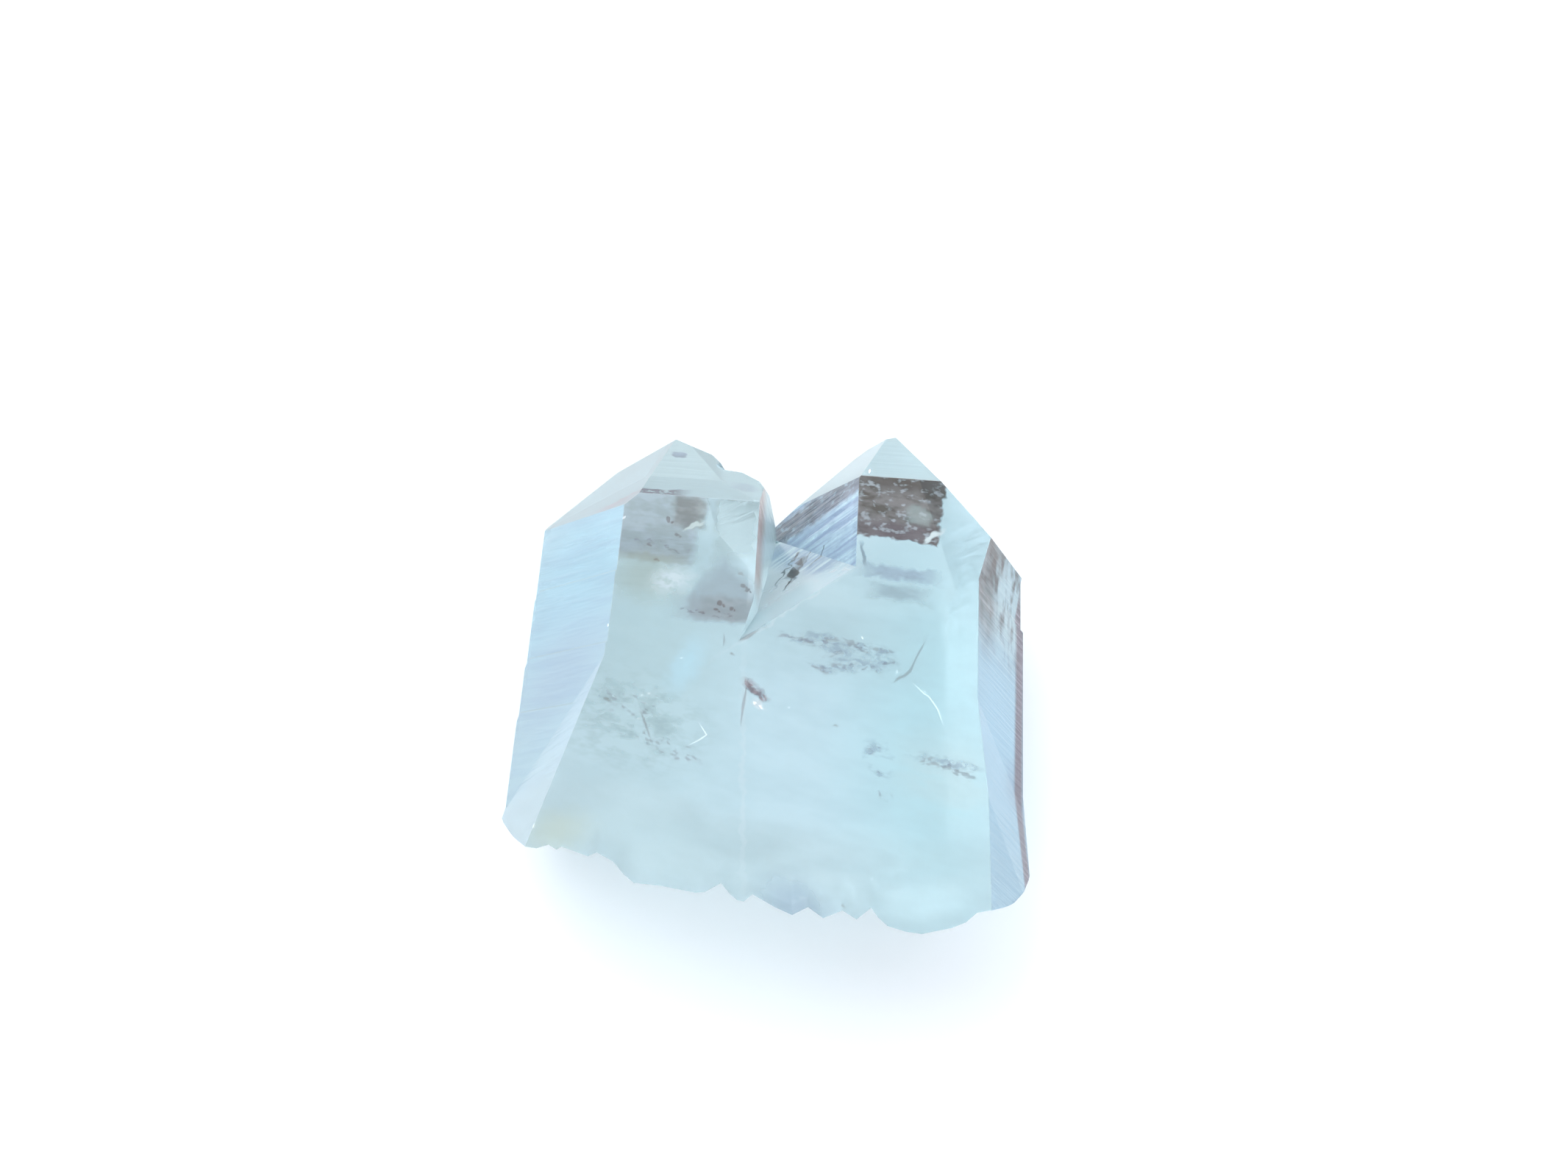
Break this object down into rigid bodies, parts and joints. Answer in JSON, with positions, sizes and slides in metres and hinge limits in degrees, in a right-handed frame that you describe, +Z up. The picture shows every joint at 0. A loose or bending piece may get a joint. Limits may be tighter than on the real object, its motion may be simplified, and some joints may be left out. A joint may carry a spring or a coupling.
{
  "type": "quartz crystal pair",
  "caption": "Two clear quartz crystals grown together side by side, with flat six-sided faces, blunt pointed tips, an open notch between them and a broken base.",
  "frame": {"origin": "centre of the bounding box, on the surface that the piece lies on", "axes": "+Y along the long axes of both crystals, toward the tips; +X across the pair; +Z up, out of the large front faces"},
  "size_m": [0.0476, 0.054, 0.021],
  "materials": {
    "quartz": "clear natural quartz, glassy faces, faint milky veils inside"
  },
  "bodies": {
    "root": {"twin_crystal": "quartz"}
  },
  "joints": []
}
